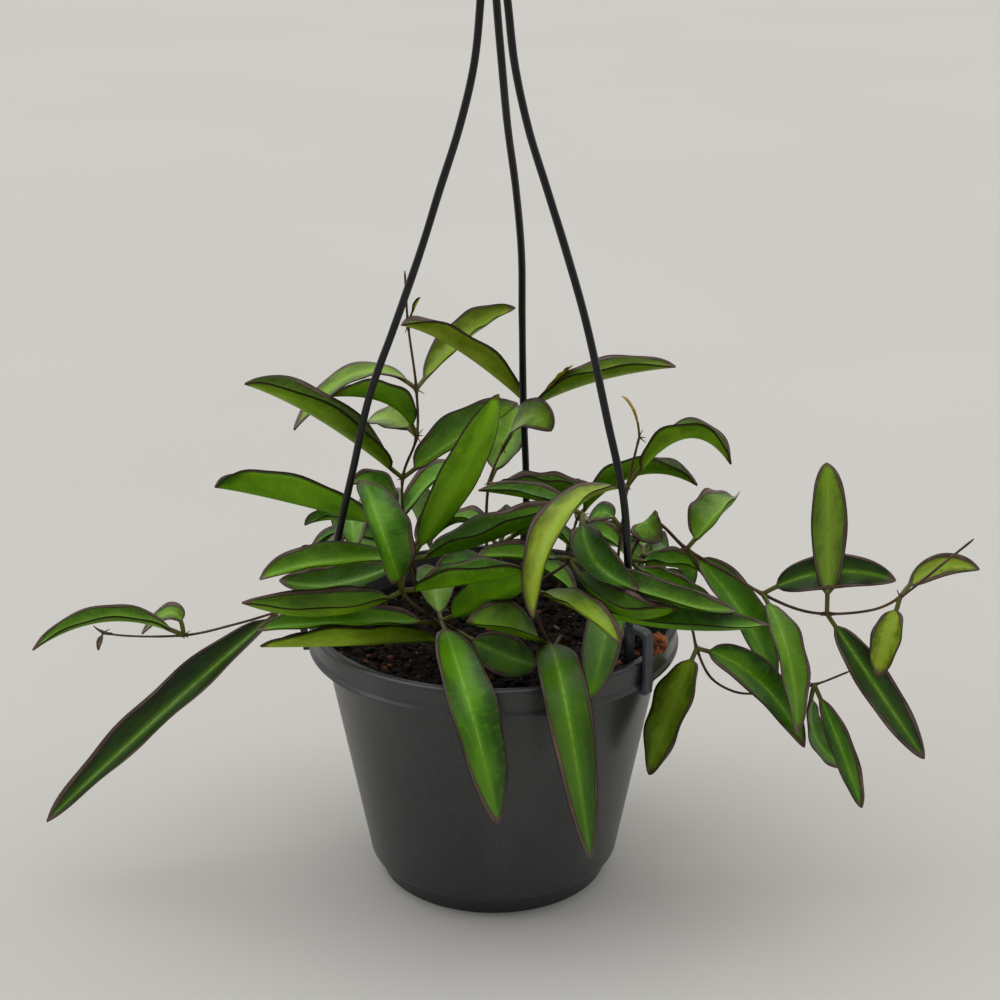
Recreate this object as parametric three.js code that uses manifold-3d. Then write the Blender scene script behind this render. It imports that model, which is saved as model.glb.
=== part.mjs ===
// A hoya with long channelled leaves, in a grey plastic hanging pot with a three-legged hanger.
// Millimetres, +Z up. The origin is the centre of the pot's underside, and -Y is the front.
import * as THREE from "three";
import { mergeVertices } from "three/addons/utils/BufferGeometryUtils.js";
import Module from "manifold-3d";

const wasm = await Module();
wasm.setup();

// ---- Driving dimensions ----
const POT_HEIGHT = 112.4;
const LIP_RADIUS = 75; // outside of the deep band round the top
const BAND_HEIGHT = 10.5;
const LIP_WIDTH = 3.4; // flat top of the band
const WALL = 1.5;
const WALL_TOP_RADIUS = 68.8; // wall just under the band
const WALL_FOOT_RADIUS = 51.5; // wall just over the foot
const FOOT_RADIUS = 47.1;
const FOOT_HEIGHT = 7.5;
const FLOOR = 2;
const POT_SIDES = 40;

const DRAIN_COUNT = 8;
const DRAIN_RADIUS = 4;
const DRAIN_CIRCLE = 33;

const SOIL_TOP = 99;
const SOIL_BUMP = 1.3;
const SOIL_RINGS = 5;
const ROOT_DEPTH = 11; // how far each stem stands in its hole

const GAP = 0.3; // between pieces that touch
const STEM_HOLE = 0.5; // round each stem in the mix

const LEG_RADIUS = 1.5;
const LEG_SIDES = 6;
const CLIP_WIDTH = 5;
const CLIP_THICKNESS = 2;
const CLIP_TOP = 125;
const CLIP_BEND = 5;
const CLIP_INNER_END = 108;
const CLIP_HOOK = 3.4; // reach of the small hook under the band
const COLLAR_RADIUS = 9;
const COLLAR_BOTTOM = 360;
const COLLAR_TOP = 377;
const HOOK_RADIUS = 2.2;
const HOOK_SIDES = 8;
const HOOK_BEND = 12;
const HOOK_SWEEP = 260; // degrees
const HOOK_CENTRE_Z = 407;

const BARK_SIZE = [6, 10, 4]; // a loose chip that lies on the lip
const BARK_LEAN = 0.35;
const BARK_PLACE = [64.3, -36.2, 115];

const STEM_SIDES = 5;
const STEPS_PER_JOINT = 3; // lengths of tube between two nodes of a stem
const PETIOLE = 6;
const PETIOLE_HALF = 0.95;
const BLADE_THICK = 1.5; // along the midrib
const EDGE_THICK = 0.8;
const CHANNEL = 20; // degrees that each half of a blade rises from the midrib
const BLADE_STATIONS = [0.02, 0.12, 0.36, 0.64, 0.88]; // along the blade, before its point

// ---- Materials ----
const material = (color, roughness) => new THREE.MeshStandardMaterial({ color, roughness, metalness: 0 });
const MATERIALS = {
  pot: material(0x4a4d50, 0.5),
  soil: material(0x2a201a, 0.95),
  bark: material(0x8a4a28, 0.9),
  hanger: material(0x17191d, 0.45),
  foliage: material(0x3f7a1c, 0.4),
};

// ---- The vines ----
// path: the stem, from the top of the mix to the growing tip; a leaf can grow from any of its points.
// Each leaf: [point it grows from, middle of the midrib, tip, width, turn, channel].
// turn is in degrees; a positive turn leans the upper face to the leaf's own right.
const VINES = {
  vine_tall_left: {
    stem: 1.2,
    path: [
      [-29, 30, 104], [-35, 26, 128], [-37, 22, 162], [-31, 22, 180], [-31, 25, 199],
      [-34, 26, 226], [-35, 28, 247],
    ],
    leaves: [
      [2, [-68, 2, 194], [-96, -6, 211], 24, -12, 54],
      [2, [-13, 34, 176], [10, 48, 186], 22, 22, 42],
      [3, [-42, 16, 196], [-64, 10, 201], 18, 28, 66],
      [3, [-42, 38, 182], [-53, 50, 177], 18, -20, 20],
      [4, [-55, 30, 204], [-79, 6, 188], 16, -6, 10],
      [4, [-12, 62, 210], [9, 70, 221], 19, 15, 52],
      [5, [-31, 24, 234], [-29, 22, 238], 3, 0, 20],
    ],
  },
  vine_left_crown: {
    stem: 1.3,
    path: [
      [-16, -8, 104], [-22, -24, 118], [-35, -32, 135], [-32, -24, 145], [-37, -10, 152],
      [-42, 0, 158],
    ],
    leaves: [
      [2, [-42, -40, 162], [-50, -14, 174], 24, 8, 34],
      [2, [-64, -46, 131], [-95, -50, 138], 22, -14, 54],
      [0, [-52, -44, 118], [-89, -48, 119], 17, 28, 64],
      [1, [-59, -38, 124], [-91, -40, 122], 18, -20, 42],
      [3, [-11, -26, 182], [2, -14, 209], 17, -90, 20],
      [3, [-65, -38, 149], [-89, -42, 144], 17, -22, 42],
      [3, [-61, -26, 135], [-83, -28, 138], 18, -28, 28],
      [4, [-85, 8, 158], [-111, 4, 165], 24, 32, 70],
      [4, [-60, 10, 149], [-76, 6, 148], 14, -10, 45],
      [2, [-10, -50, 146], [13, -48, 150], 20, 0, 58],
      [3, [0, -28, 155], [29, -22, 168], 22, 6, 54],
    ],
  },
  vine_front_crown: {
    stem: 1.4,
    path: [[-9, -14, 104], [-14, -24, 114], [-20, -34, 123]],
    leaves: [
      [2, [-8, -82, 108], [2, -84, 62], 21, 0, 26],
      [2, [-1, -44, 137], [18, -42, 147], 20, -62, 25],
      [1, [5, -40, 111], [17, -48, 111], 18, 55, 20],
      [2, [-23, -10, 125], [-24, 12, 127], 22, 0, 45],
    ],
  },
  vine_right_crown: {
    stem: 1.4,
    path: [[28, -8, 104], [22, -32, 112], [16, -27, 133], [30, -26, 146], [35, -14, 160]],
    leaves: [
      [1, [27, -81, 110], [37, -84, 46], 19, 0, 20],
      [1, [6, -50, 126], [-10, -52, 131], 25, -20, 40],
      [2, [33, -60, 139], [47, -74, 132], 15, 5, 42],
      [3, [11, -36, 151], [-6, -40, 153], 14, -22, 42],
      [4, [16, -2, 162], [-6, 8, 162], 15, -9, 50],
      [2, [61, -58, 132], [105, -48, 128], 20, 10, 48],
      [3, [64, -57, 142], [92, -48, 134], 16, 15, 45],
      [3, [47, -60, 138], [69, -62, 141], 20, 8, 58],
      [4, [39, -42, 151], [55, -54, 145], 19, 22, 42],
    ],
  },
  vine_tall_right: {
    stem: 1.3,
    path: [[45, 6, 104], [49, 2, 125], [51, -4, 149], [53, -6, 169], [57, -6, 189]],
    leaves: [
      [3, [25, -42, 167], [15, -60, 135], 19, 10, 35],
      [3, [74, -12, 191], [92, -18, 182], 18, -10, 52],
      [4, [55, -6, 199], [50, -6, 206], 4, 0, 20],
      [2, [45, 0, 155], [38, 6, 149], 10, -40, 20],
      [1, [43, -40, 118], [36, -78, 110], 17, 0, 20],
    ],
  },
  vine_back_centre: {
    stem: 1.3,
    path: [[-2, 42, 104], [-3, 52, 121], [-2, 60, 146], [4, 66, 160], [11, 71, 170], [16, 72, 177]],
    leaves: [
      [2, [21, 40, 150], [44, 26, 154], 18, 2, 62],
      [2, [6, 78, 160], [10, 90, 172], 19, 0, 20],
      [3, [15, 50, 179], [24, 43, 175], 17, 45, 25],
      [5, [-14, 38, 212], [-36, 14, 229], 19, -6, 56],
      [5, [43, 54, 194], [75, 44, 203], 20, 10, 50],
      [5, [28, 66, 192], [33, 62, 198], 5, 0, 20],
    ],
  },
  vine_far_left: {
    stem: 1.1,
    path: [
      [-45, 6, 104], [-58, 4, 120], [-73, 1, 118], [-86, -8, 116], [-104, -10, 111],
      [-124, -14, 108], [-155, -18, 111], [-159, -18, 114],
    ],
    leaves: [
      [3, [-135, -18, 74], [-183, -24, 29], 20, -37.5, 35.5],
      [5, [-152, -24, 119], [-181, -30, 109], 14, -9, 48],
      [5, [-129, -10, 116], [-142, -8, 106], 10, -30, 20],
      [6, [-156, -20, 109], [-157, -22, 105], 3, 0, 20],
    ],
  },
  vine_far_right: {
    stem: 1.3,
    path: [
      [47, 14, 104], [55, 10, 131], [65, 2, 150], [77, -6, 142], [94, -10, 133], [107, -14, 126],
      [121, -18, 121], [132, -20, 120], [151, -22, 123], [160, -22, 128], [178, -20, 143],
      [188, -18, 151],
    ],
    leaves: [
      [3, [88, 0, 153], [98, 22, 154], 23, 0, 50],
      [3, [99, -12, 117], [114, -14, 86], 20, 35, 30],
      [2, [61, -4, 152], [67, -10, 147], 15, 40, 25],
      [3, [95, 10, 113], [112, 16, 96], 15, 30, 20],
      [5, [132, -18, 137], [158, -22, 135], 15, 60, 20],
      [5, [115, -35, 109], [120, -38, 76], 17, -10, 20],
      [7, [130, -22, 160], [129, -16, 182], 15, -37, 20],
      [7, [152, -30, 92], [172, -34, 63], 15, 50, 20],
      [9, [155, -30, 115], [151, -32, 98], 14, 0, 20],
      [9, [176, -10, 136], [194, -8, 134], 10, 60, 20],
      [1, [72, 4, 131], [87, 4, 128], 16, 12, 48],
      [1, [72, 10, 118], [92, 12, 111], 17, 12, 48],
    ],
  },
  vine_low_right: {
    stem: 1.1,
    path: [
      [58, -4, 105], [65, -10, 121], [75, -15, 121], [79, -18, 113], [81, -20, 105], [87, -22, 93],
      [96, -24, 88], [104, -24, 87], [116, -24, 89], [128, -24, 91], [142, -24, 97],
    ],
    leaves: [
      [4, [71, -34, 86], [62, -36, 57], 20, 0, 15],
      [4, [105, -26, 94], [125, -28, 65], 17, 45, 25],
      [9, [139, -32, 66], [148, -36, 42], 11, 40, 25],
      [9, [129, -24, 69], [143, -22, 53], 13, 45, 20],
    ],
  },
  vine_back_left: {
    stem: 1.4,
    path: [[-34, 46, 104], [-37, 52, 116], [-42, 58, 126]],
    leaves: [
      [2, [-60, 78, 128], [-70, 102, 104], 19, 0, 38],
      [2, [-36, 92, 126], [-30, 122, 92], 19, 0, 38],
      [1, [-66, 56, 122], [-86, 60, 100], 18, 0, 38],
      [1, [-52, 82, 110], [-56, 108, 76], 18, 0, 38],
      [2, [-24, 74, 144], [-6, 92, 138], 17, 0, 38],
      [1, [-22, 64, 127], [-6, 74, 120], 17, 0, 38],
      [2, [-50, 66, 140], [-61, 62, 145], 18, -9, 45],
    ],
  },
  vine_back_right: {
    stem: 1.4,
    path: [[28, 46, 104], [32, 54, 118], [36, 60, 130]],
    leaves: [
      [2, [53, 80, 112], [67, 104, 85], 19, 0, 38],
      [2, [30, 92, 130], [20, 124, 96], 19, 0, 38],
      [1, [59, 70, 112], [76, 96, 84], 18, 0, 38],
      [1, [36, 88, 112], [44, 114, 72], 18, 0, 38],
      [2, [58, 26, 162], [82, 8, 164], 18, -10, 58],
      [1, [42, 42, 130], [54, 34, 126], 17, 0, 38],
    ],
  },
  vine_back_middle: {
    stem: 1.3,
    path: [[2, 22, 104], [4, 28, 116], [2, 34, 127]],
    leaves: [
      [2, [-12, 46, 134], [-26, 52, 124], 17, 0, 38],
      [2, [8, 44, 135], [14, 52, 132], 16, 0, 38],
      [2, [20, 36, 134], [36, 30, 124], 17, 0, 38],
      [1, [-12, 22, 124], [-25, 14, 115], 17, 0, 38],
      [1, [20, 20, 122], [34, 12, 114], 17, 0, 38],
    ],
  },
  vine_side_left: {
    stem: 1.3,
    path: [[-50, 22, 104], [-54, 22, 114], [-58, 24, 124]],
    leaves: [
      [2, [-72, 36, 124], [-82, 46, 104], 18, 0, 38],
      [1, [-70, 28, 116], [-82, 34, 88], 18, 0, 38],
      [2, [-60, 44, 134], [-64, 64, 128], 17, 0, 38],
    ],
  },
  vine_side_right: {
    stem: 1.3,
    path: [[54, 26, 104], [58, 26, 115], [62, 26, 126]],
    leaves: [
      [2, [76, 40, 120], [84, 52, 98], 17, 0, 38],
      [1, [72, 32, 114], [76, 42, 90], 17, 0, 38],
      [2, [66, 44, 126], [74, 60, 106], 16, 0, 38],
    ],
  },
};

// ---- The hanger's legs, from the collar down to the clip on the rim ----
const LEGS = {
  hanger_leg_left: [
    [-3.6, -0.4, 370], [-4.4, -0.5, 355], [-6.8, -0.7, 332], [-12.3, -1.3, 309], [-20.1, -2.1, 285],
    [-27.1, -2.9, 263], [-37.8, -4, 233], [-47.7, -5, 206], [-55.1, -5.8, 175], [-61.2, -6.4, 149],
    [-66.8, -5, 122],
  ],
  hanger_leg_right: [
    [3.2, -2.5, 370], [5.4, -4.3, 355], [8, -6.4, 333], [13.1, -10.6, 310], [20.2, -16.4, 288],
    [27, -21.8, 267], [34.4, -27.9, 242], [42.9, -34.7, 205], [49.2, -39.8, 176], [51.4, -41.6, 149],
    [52.5, -42.5, 122],
  ],
  hanger_leg_back: [
    [0.5, 4.2, 370], [1.4, 6.9, 354], [3.4, 10, 330], [5.6, 16.7, 306], [9, 27.2, 279],
    [11.3, 38.6, 251], [11.8, 49.4, 221], [12.6, 60.5, 180], [13.8, 64.6, 151], [14.1, 66.1, 122],
  ],
};

// ---- Solids ----
function toSolid(geometry) {
  const bare = geometry.clone();
  bare.deleteAttribute("normal");
  bare.deleteAttribute("uv");
  const merged = mergeVertices(bare, 1e-4);
  return new wasm.Manifold(new wasm.Mesh({
    numProp: 3,
    vertProperties: new Float32Array(merged.attributes.position.array),
    triVerts: new Uint32Array(merged.index.array),
  }));
}

function toGeometry(solid) {
  const { vertProperties, triVerts } = solid.getMesh();
  const geometry = new THREE.BufferGeometry();
  geometry.setAttribute("position", new THREE.BufferAttribute(new Float32Array(vertProperties), 3));
  geometry.setIndex(new THREE.BufferAttribute(new Uint32Array(triVerts), 1));
  geometry.computeVertexNormals();
  return geometry;
}

const fuse = (solids) => solids.reduce((all, solid) => all.add(solid));

const vector = ([x, y, z]) => new THREE.Vector3(x, y, z);

function tube(curve, radius, sides, steps) {
  const section = new THREE.Shape();
  for (let i = 0; i < sides; i += 1) {
    const angle = (2 * Math.PI * i) / sides;
    const corner = [radius * Math.cos(angle), radius * Math.sin(angle)];
    if (i === 0) section.moveTo(...corner);
    else section.lineTo(...corner);
  }
  section.closePath();
  return new THREE.ExtrudeGeometry(section, { steps, extrudePath: curve, bevelEnabled: false });
}

// ---- Pot ----
function potSolid() {
  const bandBottom = POT_HEIGHT - BAND_HEIGHT;
  const lipInner = LIP_RADIUS - LIP_WIDTH;
  const outline = [
    [0, 0],
    [FOOT_RADIUS - 0.8, 0],
    [FOOT_RADIUS, 0.8],
    [FOOT_RADIUS + 1, FOOT_HEIGHT],
    [WALL_FOOT_RADIUS, FOOT_HEIGHT + 1],
    [WALL_TOP_RADIUS, bandBottom - 0.8],
    [LIP_RADIUS - 0.4, bandBottom - 0.8],
    [LIP_RADIUS, bandBottom],
    [LIP_RADIUS, POT_HEIGHT - 0.8],
    [LIP_RADIUS - 0.8, POT_HEIGHT],
    [lipInner, POT_HEIGHT],
    [WALL_TOP_RADIUS - WALL, bandBottom],
    [WALL_FOOT_RADIUS - WALL, FOOT_HEIGHT + 1 + WALL],
    [FOOT_RADIUS + 1 - WALL, FOOT_HEIGHT + WALL],
    [FOOT_RADIUS - WALL, FLOOR],
    [0, FLOOR],
  ];
  let pot = toSolid(new THREE.LatheGeometry(outline.map(([r, z]) => new THREE.Vector2(r, z)), POT_SIDES)
    .rotateX(Math.PI / 2));
  for (let i = 0; i < DRAIN_COUNT; i += 1) {
    const angle = (2 * Math.PI * (i + 0.5)) / DRAIN_COUNT;
    const drill = new THREE.CylinderGeometry(DRAIN_RADIUS, DRAIN_RADIUS, 3 * FLOOR, 10)
      .rotateX(Math.PI / 2)
      .translate(DRAIN_CIRCLE * Math.cos(angle), DRAIN_CIRCLE * Math.sin(angle), FLOOR / 2);
    pot = pot.subtract(toSolid(drill));
  }
  return pot;
}

// ---- Potting mix ----
function soilBump(x, y) {
  const broad = Math.sin(0.12 * x + 1) * Math.cos(0.15 * y);
  const fine = Math.sin(0.3 * x - 0.2 * y);
  return SOIL_BUMP * (broad + 0.6 * fine);
}

function soilSolid() {
  const wallFoot = FOOT_HEIGHT + 1 + WALL;
  const wallSlope = (WALL_TOP_RADIUS - WALL_FOOT_RADIUS) / (POT_HEIGHT - BAND_HEIGHT - wallFoot);
  const topRadius = WALL_FOOT_RADIUS - WALL - GAP + wallSlope * (SOIL_TOP - wallFoot);
  const outline = [
    [0, FLOOR + GAP],
    [FOOT_RADIUS - WALL - GAP, FLOOR + GAP],
    [FOOT_RADIUS + 1 - WALL - GAP, FOOT_HEIGHT + WALL + GAP],
    [WALL_FOOT_RADIUS - WALL - GAP, wallFoot + GAP],
  ];
  for (let i = SOIL_RINGS; i >= 0; i -= 1) outline.push([(topRadius * i) / SOIL_RINGS, SOIL_TOP]);
  const body = new THREE.LatheGeometry(outline.map(([r, z]) => new THREE.Vector2(r, z)), POT_SIDES)
    .rotateX(Math.PI / 2);
  const { position } = body.attributes;
  for (let i = 0; i < position.count; i += 1) {
    const [x, y, z] = [position.getX(i), position.getY(i), position.getZ(i)];
    const inside = z > SOIL_TOP - 1e-3 && Math.hypot(x, y) < topRadius - 1;
    if (inside) position.setZ(i, SOIL_TOP + soilBump(x, y));
  }
  let soil = toSolid(body);
  for (const vine of Object.values(VINES)) {
    soil = soil.subtract(stemTube(vine, vine.stem + STEM_HOLE, ROOT_DEPTH + GAP));
  }
  return soil;
}

function barkSolid() {
  return toSolid(new THREE.IcosahedronGeometry(1, 0)
    .scale(...BARK_SIZE.map((size) => size / 2))
    .rotateX(BARK_LEAN)
    .translate(...BARK_PLACE));
}

// ---- Hanger ----
const legCurve = (points) => new THREE.CatmullRomCurve3(points.map(vector), false, "centripetal");

function clipSolid([x, y]) {
  const inner = Math.hypot(x, y) - CLIP_THICKNESS / 2;
  const outer = LIP_RADIUS + GAP;
  const bend = CLIP_TOP - CLIP_BEND;
  const underBand = POT_HEIGHT - BAND_HEIGHT - 0.8 - GAP;
  const outline = new THREE.Shape();
  outline.moveTo(inner, CLIP_INNER_END);
  outline.lineTo(inner + CLIP_THICKNESS, CLIP_INNER_END);
  outline.lineTo(inner + CLIP_THICKNESS, CLIP_TOP - CLIP_THICKNESS);
  outline.lineTo(outer - CLIP_THICKNESS, CLIP_TOP - CLIP_THICKNESS);
  outline.quadraticCurveTo(outer, CLIP_TOP - CLIP_THICKNESS, outer, bend);
  outline.lineTo(outer, underBand);
  outline.lineTo(outer - CLIP_HOOK, underBand);
  outline.lineTo(outer - CLIP_HOOK, underBand - CLIP_THICKNESS);
  outline.lineTo(outer + CLIP_THICKNESS, underBand - CLIP_THICKNESS);
  outline.lineTo(outer + CLIP_THICKNESS, bend);
  outline.quadraticCurveTo(outer + CLIP_THICKNESS, CLIP_TOP, outer - CLIP_THICKNESS, CLIP_TOP);
  outline.lineTo(inner, CLIP_TOP);
  outline.closePath();
  const thickness = { depth: CLIP_WIDTH, bevelEnabled: false, curveSegments: 3 };
  return toSolid(new THREE.ExtrudeGeometry(outline, thickness)
    .translate(0, 0, -CLIP_WIDTH / 2)
    .rotateX(Math.PI / 2)
    .rotateZ(Math.atan2(y, x)));
}

const legTube = (points, radius) => toSolid(tube(legCurve(points), radius, LEG_SIDES, 2 * points.length));

function legSolid(points) {
  return fuse([legTube(points, LEG_RADIUS), clipSolid(points.at(-1))]);
}

function headSolid() {
  const height = COLLAR_TOP - COLLAR_BOTTOM;
  let collar = toSolid(new THREE.CylinderGeometry(COLLAR_RADIUS - 2, COLLAR_RADIUS, height, 16)
    .rotateX(Math.PI / 2)
    .translate(0, 0, COLLAR_BOTTOM + height / 2));
  for (const points of Object.values(LEGS)) {
    const [x, y, z] = points[0];
    collar = collar.subtract(legTube([[x, y, z + GAP], ...points.slice(1)], LEG_RADIUS + GAP));
  }
  const rod = [[0, 0, COLLAR_TOP - 4], [0, 0, COLLAR_TOP + 6]];
  for (let i = 0; i <= 8; i += 1) {
    const angle = THREE.MathUtils.degToRad(-90 + (HOOK_SWEEP * i) / 8);
    rod.push([HOOK_BEND * Math.cos(angle), 0, HOOK_CENTRE_Z + HOOK_BEND * Math.sin(angle)]);
  }
  return collar.add(toSolid(tube(legCurve(rod), HOOK_RADIUS, HOOK_SIDES, 20)));
}

const root = new THREE.Group();

function addPiece(name, solid, look) {
  const mesh = new THREE.Mesh(toGeometry(solid), look);
  mesh.name = name;
  root.add(mesh);
}

// ---- Leaves and stems ----
// Half the width of a blade at s, from 0 where it leaves the petiole to 1 at its point.
const bladeShape = (s) => (s ** 0.5 * (1 - s) ** 0.65) / 0.4551;

function leafGeometry(from, middle, tip, width, turn, channel) {
  const start = vector(from);
  const end = vector(tip);
  const control = vector(middle).multiplyScalar(2).sub(start.clone().add(end).multiplyScalar(0.5));
  const midrib = new THREE.QuadraticBezierCurve3(start, control, end);
  const bladeStart = Math.min(0.3, PETIOLE / midrib.getLength());
  const right = end.clone().sub(start).cross(new THREE.Vector3(0, 0, 1)).normalize();
  const lean = THREE.MathUtils.degToRad(turn);
  const fold = THREE.MathUtils.degToRad(channel);

  const positions = [];
  const addRing = (t, half, rise, thick, edgeThick) => {
    const centre = midrib.getPoint(t);
    const along = midrib.getTangent(t);
    const side = right.clone().addScaledVector(along, -right.dot(along)).normalize();
    const up = side.clone().cross(along);
    const across = side.clone().multiplyScalar(Math.cos(lean)).addScaledVector(up, -Math.sin(lean));
    const face = up.clone().multiplyScalar(Math.cos(lean)).addScaledVector(side, Math.sin(lean));
    const corners = [
      [-half, rise + edgeThick / 2], [0, thick / 2], [half, rise + edgeThick / 2],
      [half, rise - edgeThick / 2], [0, -thick / 2], [-half, rise - edgeThick / 2],
    ];
    for (const [a, b] of corners) {
      const point = centre.clone().addScaledVector(across, a).addScaledVector(face, b);
      positions.push(point.x, point.y, point.z);
    }
  };
  addRing(0, PETIOLE_HALF, 0, 2 * PETIOLE_HALF, PETIOLE_HALF);
  for (const s of BLADE_STATIONS) {
    const half = Math.max(PETIOLE_HALF, (width / 2) * bladeShape(s));
    const t = bladeStart + (1 - bladeStart) * s;
    addRing(t, half * Math.cos(fold), (half - PETIOLE_HALF) * Math.sin(fold), BLADE_THICK, EDGE_THICK);
  }
  positions.push(...tip);

  // Corners of a ring: 0 left, 1 midrib and 2 right on the upper face, 3 right, 4 midrib and 5 left under it.
  const triangles = [];
  const rings = BLADE_STATIONS.length + 1;
  for (let i = 0; i < rings - 1; i += 1) {
    const a = 6 * i;
    const b = a + 6;
    triangles.push(
      [a, a + 1, b + 1], [a, b + 1, b], [a + 1, a + 2, b + 2], [a + 1, b + 2, b + 1],
      [a + 2, a + 3, b + 3], [a + 2, b + 3, b + 2],
      [a + 5, b + 4, a + 4], [a + 5, b + 5, b + 4], [a + 4, b + 3, a + 3], [a + 4, b + 4, b + 3],
      [a, b + 5, a + 5], [a, b, b + 5],
    );
  }
  const last = 6 * (rings - 1);
  const point = last + 6;
  for (let i = 0; i < 6; i += 1) triangles.push([last + i, last + ((i + 1) % 6), point]);
  triangles.push([0, 5, 4], [0, 4, 1], [1, 4, 3], [1, 3, 2]);

  const geometry = new THREE.BufferGeometry();
  geometry.setAttribute("position", new THREE.BufferAttribute(new Float32Array(positions), 3));
  geometry.setIndex(triangles.flat());
  return geometry;
}

function stemTube(vine, radius, depth) {
  const [foot] = vine.path;
  const points = [[foot[0], foot[1], SOIL_TOP - depth], ...vine.path];
  const curve = new THREE.CatmullRomCurve3(points.map(vector), false, "centripetal");
  return toSolid(tube(curve, radius, STEM_SIDES, STEPS_PER_JOINT * (points.length - 1)));
}

function vineSolid(vine) {
  const leaves = vine.leaves.map(([at, middle, tip, width, turn, channel = CHANNEL]) =>
    toSolid(leafGeometry(vine.path[at], middle, tip, width, turn, channel)));
  return fuse([stemTube(vine, vine.stem, ROOT_DEPTH), ...leaves]);
}

addPiece("pot", potSolid(), MATERIALS.pot);
addPiece("soil", soilSolid(), MATERIALS.soil);
addPiece("bark_chip", barkSolid(), MATERIALS.bark);
addPiece("hanger_head", headSolid(), MATERIALS.hanger);
for (const [name, points] of Object.entries(LEGS)) addPiece(name, legSolid(points), MATERIALS.hanger);
for (const [name, vine] of Object.entries(VINES)) addPiece(name, vineSolid(vine), MATERIALS.foliage);

export default root;
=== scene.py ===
"""A hoya with long channelled leaves in a hanging pot. Metres, +Z up, -Y to the front."""

import math
import random

import bmesh
import bpy
from mathutils import Matrix, Vector, noise


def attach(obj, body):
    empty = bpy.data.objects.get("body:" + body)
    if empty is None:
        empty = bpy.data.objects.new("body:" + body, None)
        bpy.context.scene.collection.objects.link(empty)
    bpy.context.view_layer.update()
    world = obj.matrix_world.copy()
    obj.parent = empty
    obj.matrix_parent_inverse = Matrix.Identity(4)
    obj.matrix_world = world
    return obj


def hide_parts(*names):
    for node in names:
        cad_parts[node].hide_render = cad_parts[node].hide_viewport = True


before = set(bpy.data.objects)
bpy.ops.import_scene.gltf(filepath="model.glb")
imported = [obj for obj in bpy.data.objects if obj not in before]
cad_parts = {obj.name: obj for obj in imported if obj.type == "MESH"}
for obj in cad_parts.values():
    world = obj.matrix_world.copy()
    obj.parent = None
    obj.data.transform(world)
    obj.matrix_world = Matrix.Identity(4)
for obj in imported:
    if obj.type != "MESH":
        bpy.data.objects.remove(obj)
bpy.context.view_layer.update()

MM = 0.001
random.seed(7)

# ---- Sizes in millimetres, as in the solids ----
POT_HEIGHT = 112.4
LIP_RADIUS = 75
BAND_HEIGHT = 10.5
LIP_WIDTH = 3.4
WALL = 1.5
WALL_TOP_RADIUS = 68.8
WALL_FOOT_RADIUS = 51.5
FOOT_RADIUS = 47.1
FOOT_HEIGHT = 7.5
FLOOR = 2
DRAIN_COUNT = 8
DRAIN_RADIUS = 4
DRAIN_CIRCLE = 33
SOIL_TOP = 99
SOIL_RADIUS = 66.4
ROOT_DEPTH = 11
GAP = 0.3
LEG_RADIUS = 1.5
CLIP_WIDTH = 5
CLIP_THICKNESS = 2
CLIP_TOP = 125
CLIP_BEND = 5
CLIP_INNER_END = 108
CLIP_HOOK = 3.4
COLLAR_RADIUS = 9
COLLAR_BOTTOM = 360
COLLAR_TOP = 377
HOOK_RADIUS = 2.2
HOOK_BEND = 12
HOOK_SWEEP = 260
HOOK_CENTRE_Z = 407
BARK_SIZE = (6, 10, 4)
BARK_LEAN = 0.35
BARK_PLACE = (64.3, -36.2, 115)
PETIOLE = 6
PETIOLE_HALF = 0.95

# ---- Finer detail, in millimetres ----
BAND_LEDGE = 0.8
CLIP_ROUNDING = 0.35
SHARP_CORNER = math.radians(50)
POT_SIDES = 160
SOIL_RINGS, SOIL_SIDES = 70, 200
CRUMB_COUNT = 2300
BIG_CRUMBS_FROM, BARK_FROM, PERLITE_FROM = 0.85, 0.94, 0.99
STALK_ROWS, BLADE_ROWS, COLUMNS = 4, 30, 11
OUTLINE_PEAK = 0.4551
BLADE_THICKNESS, BLADE_THINNING = 1.15, 0.4
GROOVE_HALF, GROOVE_ABOVE, GROOVE_BELOW = 0.8, 0.22, 0.3
SMALL_LEAF = 6
SMALL_STALK_HALF = 0.45
FAR_FROM_EDGE, FAR_FROM_POINT = 9.0, 99.0

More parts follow.
